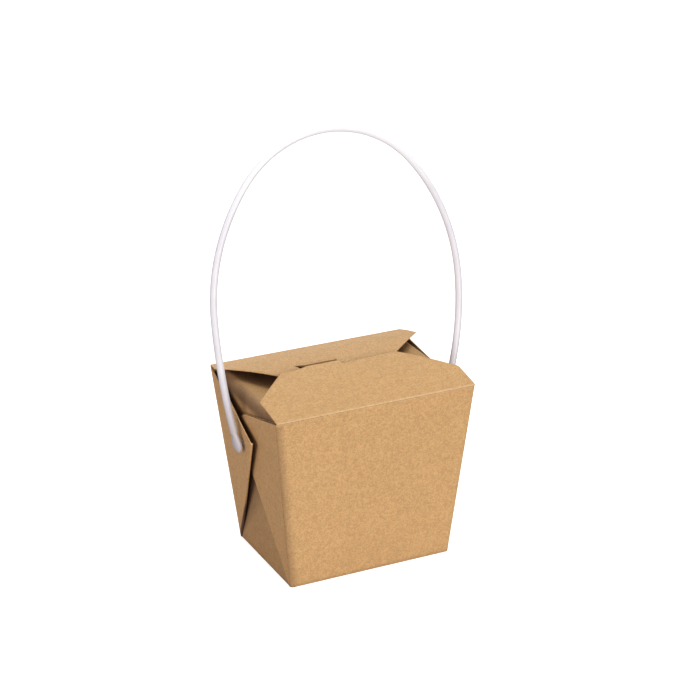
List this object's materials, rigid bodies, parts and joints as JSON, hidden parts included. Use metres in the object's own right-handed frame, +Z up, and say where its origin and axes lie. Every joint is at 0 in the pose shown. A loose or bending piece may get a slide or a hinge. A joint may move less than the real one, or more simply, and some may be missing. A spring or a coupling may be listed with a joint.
{
  "type": "takeout food pail",
  "caption": "Folded kraft-card food pail: a tapered carton with folded corner webs, tucked top flaps and a swinging white plastic bail handle.",
  "frame": {"origin": "middle of the underside of the carton's bottom, on the surface that it stands on", "axes": "+X along the carton's long sides to the right, +Y from the tab flap's side to the back, +Z up"},
  "size_m": [0.1168, 0.0708, 0.1839],
  "materials": {
    "card": "matte",
    "handle": "satin"
  },
  "bodies": {
    "carton": {"carton": "card"},
    "flap": {"front_flap": "card"},
    "bail": {"handle": "handle"}
  },
  "joints": [
    {"name": "front_flap_open", "type": "hinge", "parent": "carton", "child": "flap", "pos_m": [0, -0.03517, 0.07977], "axis": [1, 0, 0], "range_deg": [0, 170]},
    {"name": "handle_swing", "type": "hinge", "parent": "carton", "child": "bail", "pos_m": [0, 0, 0.0575], "axis": [1, 0, 0], "range_deg": [-105, 122]}
  ]
}
